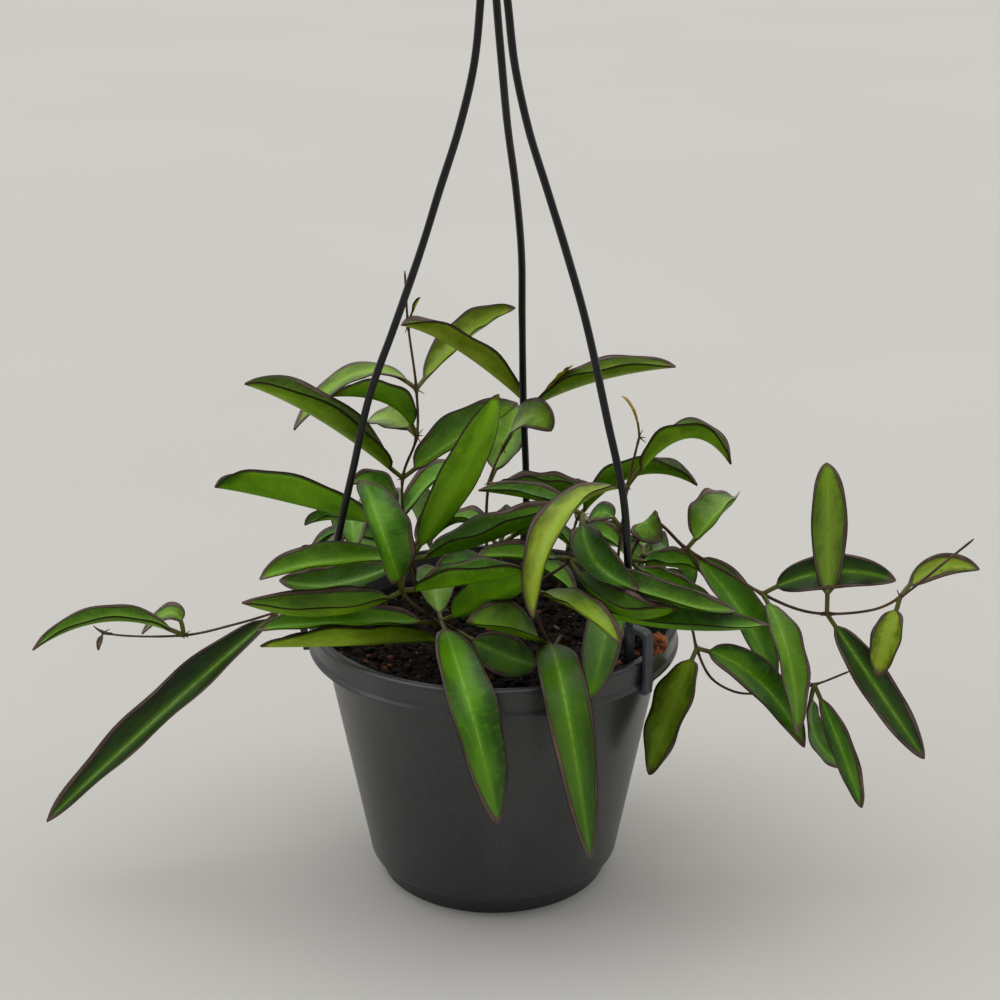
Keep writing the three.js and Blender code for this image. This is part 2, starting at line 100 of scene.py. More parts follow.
# ---- The vines ----
# A stem has half its thickness and the points that it passes. A leaf has the number of the point
# that it grows from, the middle of its midrib, its tip, its width, its turn and channel in degrees,
# and its tint: 0 for fresh green, -1 for shaded, a darker green painted as shade, 1 for olive,
# and 2 for the ochre of a young shoot. Some leaves that face the light are given more olive tint,
# as painted light that makes them lighter.
VINES = {
    "vine_tall_left": {
        "stem": 1.2,
        "path": [
            (-29, 30, 104), (-35, 26, 128), (-37, 22, 162), (-31, 22, 180), (-31, 25, 199),
            (-34, 26, 226), (-35, 28, 247),
        ],
        "leaves": [
            (2, (-68, 2, 194), (-96, -6, 211), 24, -12, 54, 0.4),
            (2, (-13, 34, 176), (10, 48, 186), 22, 22, 42, 0.2),
            (3, (-42, 16, 196), (-64, 10, 201), 18, 28, 66, -0.3),
            (3, (-42, 38, 182), (-53, 50, 177), 18, -20, 20, 0.5),
            (4, (-55, 30, 204), (-79, 6, 188), 16, -6, 10, 0.4),
            (4, (-12, 62, 210), (9, 70, 221), 19, 15, 52, 0.7),
            (5, (-31, 24, 234), (-29, 22, 238), 3, 0, 20, 0.9),
        ],
    },
    "vine_left_crown": {
        "stem": 1.3,
        "path": [
            (-16, -8, 104), (-22, -24, 118), (-35, -32, 135), (-32, -24, 145), (-37, -10, 152),
            (-42, 0, 158),
        ],
        "leaves": [
            (2, (-42, -40, 162), (-50, -14, 174), 24, 8, 34, 0),
            (2, (-64, -46, 131), (-95, -50, 138), 22, -14, 54, 0.3),
            (0, (-52, -44, 118), (-89, -48, 119), 17, 28, 64, 0.55),
            (1, (-59, -38, 124), (-91, -40, 122), 18, -20, 42, 0.1),
            (3, (-11, -26, 182), (2, -14, 209), 17, -90, 20, 0.2),
            (3, (-65, -38, 149), (-89, -42, 144), 17, -22, 42, 0.2),
            (3, (-61, -26, 135), (-83, -28, 138), 18, -28, 28, -0.6),
            (4, (-85, 8, 158), (-111, 4, 165), 24, 32, 70, 0.1),
            (4, (-60, 10, 149), (-76, 6, 148), 14, -10, 45, 0.1),
            (2, (-10, -50, 146), (13, -48, 150), 20, 0, 58, 0.1),
            (3, (0, -28, 155), (29, -22, 168), 22, 6, 54, -0.2),
        ],
    },
    "vine_front_crown": {
        "stem": 1.4,
        "path": [(-9, -14, 104), (-14, -24, 114), (-20, -34, 123)],
        "leaves": [
            (2, (-8, -82, 108), (2, -84, 62), 21, 0, 26, -0.15),
            (2, (-1, -44, 137), (18, -42, 147), 20, -62, 25, 0.1),
            (1, (5, -40, 111), (17, -48, 111), 18, 55, 20, -0.3),
            (2, (-23, -10, 125), (-24, 12, 127), 22, 0, 45, 0.3),
        ],
    },
    "vine_right_crown": {
        "stem": 1.4,
        "path": [(28, -8, 104), (22, -32, 112), (16, -27, 133), (30, -26, 146), (35, -14, 160)],
        "leaves": [
            (1, (27, -81, 110), (37, -84, 46), 19, 0, 20, -0.5),
            (1, (6, -50, 126), (-10, -52, 131), 25, -20, 40, 0.3),
            (2, (33, -60, 139), (47, -74, 132), 15, 5, 42, 0.6),
            (3, (11, -36, 151), (-6, -40, 153), 14, -22, 42, 0.2),
            (4, (16, -2, 162), (-6, 8, 162), 15, -9, 50, 0.1),
            (2, (61, -58, 132), (105, -48, 128), 20, 10, 48, 0.1),
            (3, (64, -57, 142), (92, -48, 134), 16, 15, 45, 0.2),
            (3, (47, -60, 138), (69, -62, 141), 20, 8, 58, -0.4),
            (4, (39, -42, 151), (55, -54, 145), 19, 22, 42, -0.4),
        ],
    },
    "vine_tall_right": {
        "stem": 1.3,
        "path": [(45, 6, 104), (49, 2, 125), (51, -4, 149), (53, -6, 169), (57, -6, 189)],
        "leaves": [
            (3, (25, -42, 167), (15, -60, 135), 19, 10, 35, 0.8),
            (3, (74, -12, 191), (92, -18, 182), 18, -10, 52, 0.3),
            (4, (55, -6, 199), (50, -6, 206), 4, 0, 20, 2),
            (2, (45, 0, 155), (38, 6, 149), 10, -40, 20, 0.1),
            (1, (43, -40, 118), (36, -78, 110), 17, 0, 20, 0.1),
        ],
    },
    "vine_back_centre": {
        "stem": 1.3,
        "path": [
            (-2, 42, 104), (-3, 52, 121), (-2, 60, 146), (4, 66, 160), (11, 71, 170),
            (16, 72, 177),
        ],
        "leaves": [
            (2, (21, 40, 150), (44, 26, 154), 18, 2, 62, 0.1),
            (2, (6, 78, 160), (10, 90, 172), 19, 0, 20, 0.3),
            (3, (15, 50, 179), (24, 43, 175), 17, 45, 25, 0.4),
            (5, (-14, 38, 212), (-36, 14, 229), 19, -6, 56, 0.8),
            (5, (43, 54, 194), (75, 44, 203), 20, 10, 50, 0.5),
            (5, (28, 66, 192), (33, 62, 198), 5, 0, 20, 2),
        ],
    },
    "vine_far_left": {
        "stem": 1.1,
        "path": [
            (-45, 6, 104), (-58, 4, 120), (-73, 1, 118), (-86, -8, 116), (-104, -10, 111),
            (-124, -14, 108), (-155, -18, 111), (-159, -18, 114),
        ],
        "leaves": [
            (3, (-135, -18, 74), (-183, -24, 29), 20, -37.5, 35.5, -0.9),
            (5, (-152, -24, 119), (-181, -30, 109), 14, -9, 48, 0.2),
            (5, (-129, -10, 116), (-142, -8, 106), 10, -30, 20, 0.3),
            (6, (-156, -20, 109), (-157, -22, 105), 3, 0, 20, 1),
        ],
    },
    "vine_far_right": {
        "stem": 1.3,
        "path": [
            (47, 14, 104), (55, 10, 131), (65, 2, 150), (77, -6, 142), (94, -10, 133),
            (107, -14, 126), (121, -18, 121), (132, -20, 120), (151, -22, 123), (160, -22, 128),
            (178, -20, 143), (188, -18, 151),
        ],
        "leaves": [
            (3, (88, 0, 153), (98, 22, 154), 23, 0, 50, 0.3),
            (3, (99, -12, 117), (114, -14, 86), 20, 35, 30, 0),
            (2, (61, -4, 152), (67, -10, 147), 15, 40, 25, 0.3),
            (3, (95, 10, 113), (112, 16, 96), 15, 30, 20, -0.4),
            (5, (132, -18, 137), (158, -22, 135), 15, 60, 20, -0.8),
            (5, (115, -35, 109), (120, -38, 76), 17, -10, 20, 0.2),
            (7, (130, -22, 160), (129, -16, 182), 15, -37, 20, 0.45),
            (7, (152, -30, 92), (172, -34, 63), 15, 50, 20, -0.8),
            (9, (155, -30, 115), (151, -32, 98), 14, 0, 20, 0.8),
            (9, (176, -10, 136), (194, -8, 134), 10, 60, 20, 0.7),
            (1, (72, 4, 131), (87, 4, 128), 16, 12, 48, 0),
            (1, (72, 10, 118), (92, 12, 111), 17, 12, 48, 0.1),
        ],
    },
    "vine_low_right": {
        "stem": 1.1,
        "path": [
            (58, -4, 105), (65, -10, 121), (75, -15, 121), (79, -18, 113), (81, -20, 105),
            (87, -22, 93), (96, -24, 88), (104, -24, 87), (116, -24, 89), (128, -24, 91),
            (142, -24, 97),
        ],
        "leaves": [
            (4, (71, -34, 86), (62, -36, 57), 20, 0, 15, 0.5),
            (4, (105, -26, 94), (125, -28, 65), 17, 45, 25, -0.3),
            (9, (139, -32, 66), (148, -36, 42), 11, 40, 25, -0.2),
            (9, (129, -24, 69), (143, -22, 53), 13, 45, 20, -0.3),
        ],
    },
    "vine_back_left": {
        "stem": 1.4,
        "path": [(-34, 46, 104), (-37, 52, 116), (-42, 58, 126)],
        "leaves": [
            (2, (-60, 78, 128), (-70, 102, 104), 19, 0, 38, 0.1),
            (2, (-36, 92, 126), (-30, 122, 92), 19, 0, 38, 0),
            (1, (-66, 56, 122), (-86, 60, 100), 18, 0, 38, 0),
            (1, (-52, 82, 110), (-56, 108, 76), 18, 0, 38, 0.1),
            (2, (-24, 74, 144), (-6, 92, 138), 17, 0, 38, 0),
            (1, (-22, 64, 127), (-6, 74, 120), 17, 0, 38, 0),
            (2, (-50, 66, 140), (-61, 62, 145), 18, -9, 45, 0),
        ],
    },
    "vine_back_right": {
        "stem": 1.4,
        "path": [(28, 46, 104), (32, 54, 118), (36, 60, 130)],
        "leaves": [
            (2, (53, 80, 112), (67, 104, 85), 19, 0, 38, 0),
            (2, (30, 92, 130), (20, 124, 96), 19, 0, 38, 0.2),
            (1, (59, 70, 112), (76, 96, 84), 18, 0, 38, 0),
            (1, (36, 88, 112), (44, 114, 72), 18, 0, 38, 0.1),
            (2, (58, 26, 162), (82, 8, 164), 18, -10, 58, 0.2),
            (1, (42, 42, 130), (54, 34, 126), 17, 0, 38, 0),
        ],
    },
    "vine_back_middle": {
        "stem": 1.3,
        "path": [(2, 22, 104), (4, 28, 116), (2, 34, 127)],
        "leaves": [
            (2, (-12, 46, 134), (-26, 52, 124), 17, 0, 38, 0),
            (2, (8, 44, 135), (14, 52, 132), 16, 0, 38, 0.1),
            (2, (20, 36, 134), (36, 30, 124), 17, 0, 38, 0),
            (1, (-12, 22, 124), (-25, 14, 115), 17, 0, 38, 0),
            (1, (20, 20, 122), (34, 12, 114), 17, 0, 38, 0.1),
        ],
    },
    "vine_side_left": {
        "stem": 1.3,
        "path": [(-50, 22, 104), (-54, 22, 114), (-58, 24, 124)],
        "leaves": [
            (2, (-72, 36, 124), (-82, 46, 104), 18, 0, 38, 0),
            (1, (-70, 28, 116), (-82, 34, 88), 18, 0, 38, 0.1),
            (2, (-60, 44, 134), (-64, 64, 128), 17, 0, 38, 0),
        ],
    },
    "vine_side_right": {
        "stem": 1.3,
        "path": [(54, 26, 104), (58, 26, 115), (62, 26, 126)],
        "leaves": [
            (2, (76, 40, 120), (84, 52, 98), 17, 0, 38, 0),
            (1, (72, 32, 114), (76, 42, 90), 17, 0, 38, 0.1),
            (2, (66, 44, 126), (74, 60, 106), 16, 0, 38, 0),
        ],
    },
}

LEGS = {
    "hanger_leg_left": [
        (-3.6, -0.4, 370), (-4.4, -0.5, 355), (-6.8, -0.7, 332), (-12.3, -1.3, 309),
        (-20.1, -2.1, 285), (-27.1, -2.9, 263), (-37.8, -4, 233), (-47.7, -5, 206),
        (-55.1, -5.8, 175), (-61.2, -6.4, 149), (-66.8, -5, 122),
    ],
    "hanger_leg_right": [
        (3.2, -2.5, 370), (5.4, -4.3, 355), (8, -6.4, 333), (13.1, -10.6, 310), (20.2, -16.4, 288),
        (27, -21.8, 267), (34.4, -27.9, 242), (42.9, -34.7, 205), (49.2, -39.8, 176),
        (51.4, -41.6, 149), (52.5, -42.5, 122),
    ],
    "hanger_leg_back": [
        (0.5, 4.2, 370), (1.4, 6.9, 354), (3.4, 10, 330), (5.6, 16.7, 306), (9, 27.2, 279),
        (11.3, 38.6, 251), (11.8, 49.4, 221), (12.6, 60.5, 180), (13.8, 64.6, 151),
        (14.1, 66.1, 122),
    ],
}


# ---- Materials ----
def srgb(red, green, blue):
    """A colour as seen on screen, 0 to 255, as the linear values that shaders take."""
    shares = [level / 255 for level in (red, green, blue)]
    linear = [((c + 0.055) / 1.055) ** 2.4 if c > 0.04045 else c / 12.92 for c in shares]
    return (*linear, 1)


class Look:
    """A material with one principled shader, and short ways to make the nodes that drive it."""

    def __init__(self, name, **values):
        self.material = bpy.data.materials.new(name)
        self.material.use_nodes = True
        self.tree = self.material.node_tree
        self.tree.nodes.clear()
        self.shader = self.tree.nodes.new("ShaderNodeBsdfPrincipled")
        output = self.tree.nodes.new("ShaderNodeOutputMaterial")
        self.tree.links.new(self.shader.outputs["BSDF"], output.inputs["Surface"])
        self.shade(**values)

    def put(self, socket, value):
        if isinstance(value, bpy.types.NodeSocket):
            self.tree.links.new(value, socket)
        else:
            socket.default_value = value

    def shade(self, **values):
        """Sets the shader's sockets: base_color is its Base Color, and so on."""
        for name, value in values.items():
            socket = name.replace("_", " ").title().replace("Ior", "IOR")
            self.put(self.shader.inputs[socket], value)
        return self

    def place(self, stretch=(1, 1, 1)):
        where = self.tree.nodes.new("ShaderNodeTexCoord")
        mapping = self.tree.nodes.new("ShaderNodeMapping")
        mapping.inputs["Scale"].default_value = stretch
        self.tree.links.new(where.outputs["Object"], mapping.inputs["Vector"])
        return mapping.outputs["Vector"]

    def split(self, vector):
        parts = self.tree.nodes.new("ShaderNodeSeparateXYZ")
        self.tree.links.new(vector, parts.inputs[0])
        return parts.outputs

    def height(self):
        """How far the surface lies above the foot of the pot, in metres."""
        return self.split(self.place())["Z"]

    def attribute(self, name):
        """The three numbers that the mesh holds under this name."""
        node = self.tree.nodes.new("ShaderNodeAttribute")
        node.attribute_name = name
        return self.split(node.outputs["Vector"])

    def noise(self, scale, detail=3.0, roughness=0.5, at=None):
        node = self.tree.nodes.new("ShaderNodeTexNoise")
        self.put(node.inputs["Vector"], at or self.place())
        node.inputs["Scale"].default_value = scale
        node.inputs["Detail"].default_value = detail
        node.inputs["Roughness"].default_value = roughness
        return node.outputs["Fac"]

    def maths(self, operation, a, b=0.0):
        node = self.tree.nodes.new("ShaderNodeMath")
        node.operation = operation
        self.put(node.inputs[0], a)
        self.put(node.inputs[1], b)
        return node.outputs[0]

    def times(self, a, b):
        return self.maths("MULTIPLY", a, b)

    def plus(self, a, b):
        return self.maths("ADD", a, b)

    def minus(self, a, b):
        return self.maths("SUBTRACT", a, b)

    def step(self, value, low, high):
        """0 below low and 1 above high, smooth between them, or the reverse if low is greater."""
        node = self.tree.nodes.new("ShaderNodeMapRange")
        node.interpolation_type = "SMOOTHSTEP"
        self.put(node.inputs["Value"], value)
        node.inputs["From Min"].default_value = min(low, high)
        node.inputs["From Max"].default_value = max(low, high)
        node.inputs["To Min"].default_value = float(low > high)
        node.inputs["To Max"].default_value = float(low < high)
        return node.outputs["Result"]

    def mix(self, factor, a, b):
        node = self.tree.nodes.new("ShaderNodeMix")
        node.data_type = "RGBA"
        self.put(node.inputs[0], factor)
        self.put(node.inputs[6], a)
        self.put(node.inputs[7], b)
        return node.outputs[2]

    def blade_place(self, along, long_scale, across, wide_scale, third):
        """Coordinates that follow a blade, so that what they carry runs with it."""
        node = self.tree.nodes.new("ShaderNodeCombineXYZ")
        scaled = (self.times(along, long_scale), self.times(across, wide_scale), third)
        for socket, value in zip(node.inputs, scaled):
            self.put(socket, value)
        return node.outputs["Vector"]

    def bump(self, height, distance, strength=1.0):
        node = self.tree.nodes.new("ShaderNodeBump")
        node.inputs["Strength"].default_value = strength
        node.inputs["Distance"].default_value = distance
        self.tree.links.new(height, node.inputs["Height"])
        return self.shade(normal=node.outputs["Normal"])


LEAF_TONES = {
    "leaf_upper": {
        "deep": (24, 60, 0), "fresh": (56, 114, 0), "bright": (118, 178, 12),
        "olive": (98, 118, 8), "olive_bright": (168, 186, 52), "vein": (156, 192, 90),
        "margin": (78, 54, 46), "margin_bright": (108, 90, 78),
    },
    # Undersides: a paler yellow-green, made lighter still as painted light that stands for light
    # shining through the leaf from behind
    "leaf_under": {
        "deep": (48, 92, 0), "fresh": (86, 142, 2), "bright": (132, 188, 18),
        "olive": (116, 136, 16), "olive_bright": (178, 194, 66), "vein": (142, 174, 56),
        "margin": (52, 34, 20), "margin_bright": (84, 66, 34),
    },
}


def leaf_look(name, gloss, roughness, soft_rib, midrib, spread):
    """The green of a blade, its midrib, its dark margin and point, and the stalk at its foot."""
    look = Look(name, specular_ior_level=gloss)
    tone = {key: srgb(*colour) for key, colour in LEAF_TONES[name].items()}
    along, across, seed = look.attribute("leaf")
    edge, point, tint = look.attribute("rim")
    apart = look.times(seed, 40.0)
    mottle = look.noise(1.0, 4, 0.6, look.blade_place(along, 7.0, across, 2.0, apart))
    ribs = look.noise(1.0, 2, 0.5, look.blade_place(along, 36.0, across, 2.0, apart))
    broad = look.noise(1.0, 1, 0.5, look.blade_place(along, 2.4, across, 0.7, apart))
    fine = look.noise(420, 3, 0.6)
    grain = look.minus(fine, 0.5)
    off_centre = look.maths("ABSOLUTE", across)
    outward = look.plus(off_centre, look.times(look.minus(mottle, 0.5), 1.4))
    inward = look.step(outward, 0.9, 0.1)

    # Deep green at the sides, with brighter patches and cross ribs, and some leaves all brighter
    blade = look.mix(look.step(outward, 0.1, 0.95), tone["fresh"], tone["deep"])
    patches, cross_ribs = look.step(broad, 0.42, 0.66), look.step(ribs, 0.5, 0.75)
    for where, strength in ((patches, 0.45), (cross_ribs, 0.2), (seed, 0.3)):
        blade = look.mix(look.times(where, strength), blade, tone["bright"])

    # Olive leaves, where the olive also serves as painted light on some leaves that face the light,
    # and shaded ones, whose darker green is painted shade
    olive = look.mix(inward, tone["olive"], tone["olive_bright"])
    blade = look.mix(look.step(tint, 0.0, 1.0), blade, olive)
    shaded = look.mix(inward, srgb(16, 36, 0), srgb(44, 76, 2))
    blade = look.mix(look.step(tint, 0.0, -1.0), blade, shaded)

    # A soft light band along the middle, and a thin broken line in it
    band = look.times(look.step(off_centre, 0.3, 0.0), soft_rib)
    blade = look.mix(band, blade, tone["bright"])
    line = look.times(look.step(off_centre, 0.08, 0.02), look.step(along, 0.92, 0.6))
    line = look.times(line, look.step(fine, 0.3, 0.6))
    blade = look.mix(look.times(line, midrib), blade, tone["vein"])

    # A brown margin of uneven width, darker at its inner and outer edge, and a brown point
    margin = look.mix(look.step(mottle, 0.3, 0.7), tone["margin"], tone["margin_bright"])
    reach = look.times(look.step(broad, 0.3, 0.7), spread)
    inside = look.minus(look.plus(edge, look.times(grain, 0.5)), look.plus(reach, 0.4))
    inner_edge = look.step(look.maths("ABSOLUTE", look.minus(inside, 0.15)), 0.4, 0.05)
    blade = look.mix(look.times(inner_edge, 0.8), blade, srgb(30, 24, 8))
    blade = look.mix(look.step(inside, 0.15, -0.1), blade, margin)
    blade = look.mix(look.step(edge, 0.4, 0.2), blade, srgb(36, 24, 20))
    tip = look.step(look.plus(point, look.times(grain, 5.0)), 6.0, 2.0)
    blade = look.mix(look.times(tip, 0.8), blade, margin)

    # Young shoots
    ochre = look.mix(look.step(fine, 0.4, 0.6), srgb(150, 112, 34), srgb(214, 184, 84))
    blade = look.mix(look.step(tint, 1.2, 1.8), blade, ochre)

    stalk = look.mix(look.noise(200), srgb(70, 58, 26), srgb(104, 112, 36))
    look.shade(base_color=look.mix(look.step(along, -0.03, 0.05), stalk, blade))
    look.shade(roughness=look.plus(look.times(mottle, 0.2), roughness))
    relief = look.plus(look.times(ribs, 0.7), look.plus(fine, mottle))
    return look.bump(relief, 0.00035, 0.6).material


def stem_look():
    look = Look("stem_bark", specular_ior_level=0.35)
    patches = look.noise(160, 4, 0.6, look.place((1, 1, 0.35)))
    fine = look.noise(900, 3, 0.6)
    bark = look.mix(look.step(patches, 0.42, 0.62), srgb(62, 38, 28), srgb(92, 72, 40))
    bark = look.mix(look.step(fine, 0.6, 0.72), bark, srgb(120, 104, 80))
    look.shade(base_color=bark, roughness=look.plus(look.times(fine, 0.3), 0.4))
    return look.bump(look.plus(fine, patches), 0.0003, 0.8).material


def pot_look():
    """Dark grey moulded plastic with streaks and specks of dust and a few fine scratches."""
    look = Look("pot_plastic", specular_ior_level=0.65)
    broad = look.noise(16, 4, 0.55)
    fine = look.noise(500, 4, 0.65)
    streak = look.noise(30, 4, 0.6, look.place((1, 1, 0.25)))
    plastic = look.mix(look.step(broad, 0.35, 0.7), srgb(30, 32, 35), srgb(41, 43, 46))
    dusty = look.times(look.step(streak, 0.5, 0.78), 0.3)
    plastic = look.mix(dusty, plastic, srgb(76, 77, 76))
    scratches = look.noise(60, 5, 0.7, look.place((1, 1, 7)))
    scratched = look.times(look.step(scratches, 0.7, 0.74), look.step(broad, 0.5, 0.6))
    plastic = look.mix(look.times(scratched, 0.5), plastic, srgb(118, 116, 110))
    specks = look.step(look.noise(1100, 3, 0.6), 0.56, 0.7)
    plastic = look.mix(look.times(specks, 0.22), plastic, srgb(100, 100, 98))
    uneven = look.plus(look.times(broad, 0.16), look.times(fine, 0.08))
    look.shade(base_color=plastic, roughness=look.plus(uneven, 0.24))
    return look.bump(look.plus(look.times(fine, 0.4), streak), 0.0001, 0.4).material


def hanger_look():
    """Near-black plastic, scuffed to slate grey where it is clipped over the lip of the pot."""
    look = Look("hanger_plastic", specular_ior_level=0.35)
    clip_top, leg_foot = 0.124, 0.13
    patches = look.step(look.noise(60, 3, 0.5), 0.35, 0.65)
    fine = look.noise(700, 3, 0.6)
    black = look.mix(patches, srgb(12, 13, 15), srgb(22, 23, 26))
    slate = look.mix(patches, srgb(44, 48, 56), srgb(70, 75, 84))
    plastic = look.mix(look.step(look.height(), leg_foot, clip_top), black, slate)
    specks = look.times(look.step(fine, 0.62, 0.75), 0.2)
    plastic = look.mix(specks, plastic, srgb(70, 72, 78))
    look.shade(base_color=plastic, roughness=look.plus(look.times(fine, 0.2), 0.26))
    return look.bump(fine, 0.0001, 0.4).material


def crumbly_look(name, dark, light, bump_size):
    look = Look(name, specular_ior_level=0.2)
    fine = look.noise(900, 4, 0.7)
    mixed = look.plus(look.times(look.noise(140, 5, 0.7), 0.6), look.times(fine, 0.4))
    look.shade(base_color=look.mix(look.step(mixed, 0.38, 0.66), srgb(*dark), srgb(*light)))
    look.shade(roughness=look.plus(look.times(fine, 0.2), 0.72))
    return look.bump(mixed, bump_size, 1.0).material


def stage_look():
    look = Look("stage_paper", roughness=0.7, specular_ior_level=0.15)
    cloudy = look.step(look.noise(1.6, 3, 0.5), 0.3, 0.7)
    look.shade(base_color=look.mix(cloudy, srgb(199, 197, 193), srgb(202, 201, 198)))
    return look.material


LEAF_UPPER = leaf_look(
    "leaf_upper", gloss=0.3, roughness=0.3, soft_rib=0.4, midrib=0.5, spread=1.5,
)
LEAF_UNDER = leaf_look(
    "leaf_under", gloss=0.12, roughness=0.42, soft_rib=0.12, midrib=0.3, spread=0.0,
)
STEM = stem_look()
POT = pot_look()
HANGER = hanger_look()
SOIL = crumbly_look("potting_mix", (10, 8, 7), (36, 27, 21), 0.0012)
CRUMB = crumbly_look("mix_crumbs", (14, 11, 9), (50, 37, 28), 0.0008)
BARK = crumbly_look("bark_pieces", (70, 34, 18), (176, 104, 62), 0.0012)
PERLITE = crumbly_look("perlite", (96, 92, 84), (168, 164, 154), 0.0004)


# ---- Meshes ----
def piece(name, vertices, faces, materials, face_materials=None, node=None, slot=None, smooth=True):
    """A mesh from points in millimetres, riding on the part."""
    mesh = bpy.data.meshes.new(name)
    mesh.from_pydata([Vector(v) * MM for v in vertices], [], faces)
    for material in materials:
        mesh.materials.append(material)
    if face_materials:
        mesh.polygons.foreach_set("material_index", face_materials)
    mesh.polygons.foreach_set("use_smooth", [smooth] * len(faces))
    made = bpy.data.objects.new(name, mesh)
    bpy.context.scene.collection.objects.link(made)
    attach(made, "root")
    if node:
        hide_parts(node)
    return made


def add_vectors(made, name, values):
    made.data.attributes.new(name, "FLOAT_VECTOR", "POINT").data.foreach_set("vector", values)


def apply_modifiers(made):
    graph = bpy.context.evaluated_depsgraph_get()
    mesh = bpy.data.meshes.new_from_object(made.evaluated_get(graph))
    made.modifiers.clear()
    made.data = mesh


def angles(count):
    """Angles that divide a full turn evenly."""
    return [2 * math.pi * i / count for i in range(count)]


def around(radius, angle, z=0.0):
    """The point at a radius and an angle round the pot's axis."""
    return Vector((radius * math.cos(angle), radius * math.sin(angle), z))


def bezier(start, corner, end, t):
    return (1 - t) ** 2 * start + 2 * t * (1 - t) * corner + t**2 * end


def bend_points(start, corner, end, steps):
    """The points of a rounded bend, without its first."""
    start, corner, end = Vector(start), Vector(corner), Vector(end)
    return [bezier(start, corner, end, i / steps) for i in range(1, steps + 1)]


def curve_points(points, step):
    """Points along the centripetal Catmull-Rom curve through the given ones, about step apart."""
    points = [Vector(p) for p in points]
    points = [2 * points[0] - points[1], *points, 2 * points[-1] - points[-2]]
    result = []
    for p0, p1, p2, p3 in zip(points, points[1:], points[2:], points[3:]):
        d0, d1, d2 = (math.sqrt((b - a).length) for a, b in ((p0, p1), (p1, p2), (p2, p3)))
        m1 = ((p1 - p0) / d0 - (p2 - p0) / (d0 + d1) + (p2 - p1) / d1) * d1
        m2 = ((p2 - p1) / d1 - (p3 - p1) / (d1 + d2) + (p3 - p2) / d2) * d1
        square, cube = 3 * (p2 - p1) - 2 * m1 - m2, 2 * (p1 - p2) + m1 + m2
        count = max(2, round((p2 - p1).length / step))
        for i in range(count):
            t = i / count
            result.append(p1 + m1 * t + square * t**2 + cube * t**3)
    result.append(points[-2])
    return result


class Shape:
    """Vertices and faces that grow as tubes and lumps are added."""

    def __init__(self):
        self.vertices, self.faces, self.kinds = [], [], []

    def loops(self, rings, kind=0, kinds=None):
        """Joins closed rings of equal count into a tube with its ends closed."""
        first, count = len(self.vertices), len(rings[0])
        for ring in rings:
            self.vertices.extend(ring)
        for i in range(len(rings) - 1):
            for j in range(count):
                a, b = first + i * count + j, first + i * count + (j + 1) % count
                self.faces.append((a, b, b + count, a + count))
                self.kinds.append(kinds[j] if kinds else kind)
        last = first + (len(rings) - 1) * count
        self.faces.append(tuple(range(first + count - 1, first - 1, -1)))
        self.faces.append(tuple(range(last, last + count)))
        self.kinds.extend([kinds[0] if kinds else kind] * 2)

    def sweep(self, points, radii, sides, kind=0):
        """A round tube along points, whose radius may change."""
        rings = []
        along = (points[1] - points[0]).normalized()
        side = along.orthogonal().normalized()
        for i, point in enumerate(points):
            after, before = points[min(i + 1, len(points) - 1)], points[max(i - 1, 0)]
            along = (after - before).normalized()
            side = (side - along * side.dot(along)).normalized()
            other = along.cross(side)
            spokes = [side * math.cos(a) + other * math.sin(a) for a in angles(sides)]
            rings.append([point + spoke * radii[i] for spoke in spokes])
        self.loops(rings, kind)

    def lump(self, centre, size, turn, rough, kind, subdivisions=1):
        """A rough crumb: a small sphere with its points pushed in and out."""
        ball = bmesh.new()
        bmesh.ops.create_icosphere(ball, subdivisions=subdivisions, radius=1)
        first = len(self.vertices)
        for v in ball.verts:
            push = 1 + rough * noise.noise(v.co * 1.7 + centre)
            corner = Vector((v.co.x * size[0], v.co.y * size[1], v.co.z * size[2])) * push
            self.vertices.append(centre + turn @ corner)
        for f in ball.faces:
            self.faces.append(tuple(first + v.index for v in f.verts))
            self.kinds.append(kind)
        ball.free()


def rounded(profile, sides=5):
    """Rounds the corners of a profile of (r, z, rounding), which starts and ends on the axis."""
    result = []
    for i, (r, z, rounding) in enumerate(profile):
        corner = Vector((r, z))
        if rounding == 0:
            result.append(corner)
            continue
        before = (Vector(profile[i - 1][:2]) - corner).normalized()
        after = (Vector(profile[i + 1][:2]) - corner).normalized()
        reach = rounding / math.tan(before.angle(after) / 2)
        start, end = corner + before * reach, corner + after * reach
        result.extend(bezier(start, corner, end, j / sides) for j in range(sides + 1))
    return result


def lathe(profile, sides):
    """Turns a profile that starts and ends on the axis round +Z, as vertices and faces."""
    vertices, faces = [Vector((0, 0, profile[0].y)), Vector((0, 0, profile[-1].y))], []
    middle = profile[1:-1]
    for corner in middle:
        vertices.extend(around(corner.x, a, corner.y) for a in angles(sides))
    last = 2 + (len(middle) - 1) * sides
    for j in range(sides):
        k = (j + 1) % sides
        faces.append((0, 2 + k, 2 + j))
        faces.append((1, last + j, last + k))
        for i in range(len(middle) - 1):
            a, b = 2 + i * sides, 2 + (i + 1) * sides
            faces.append((a + j, a + k, b + k, b + j))
    return vertices, faces


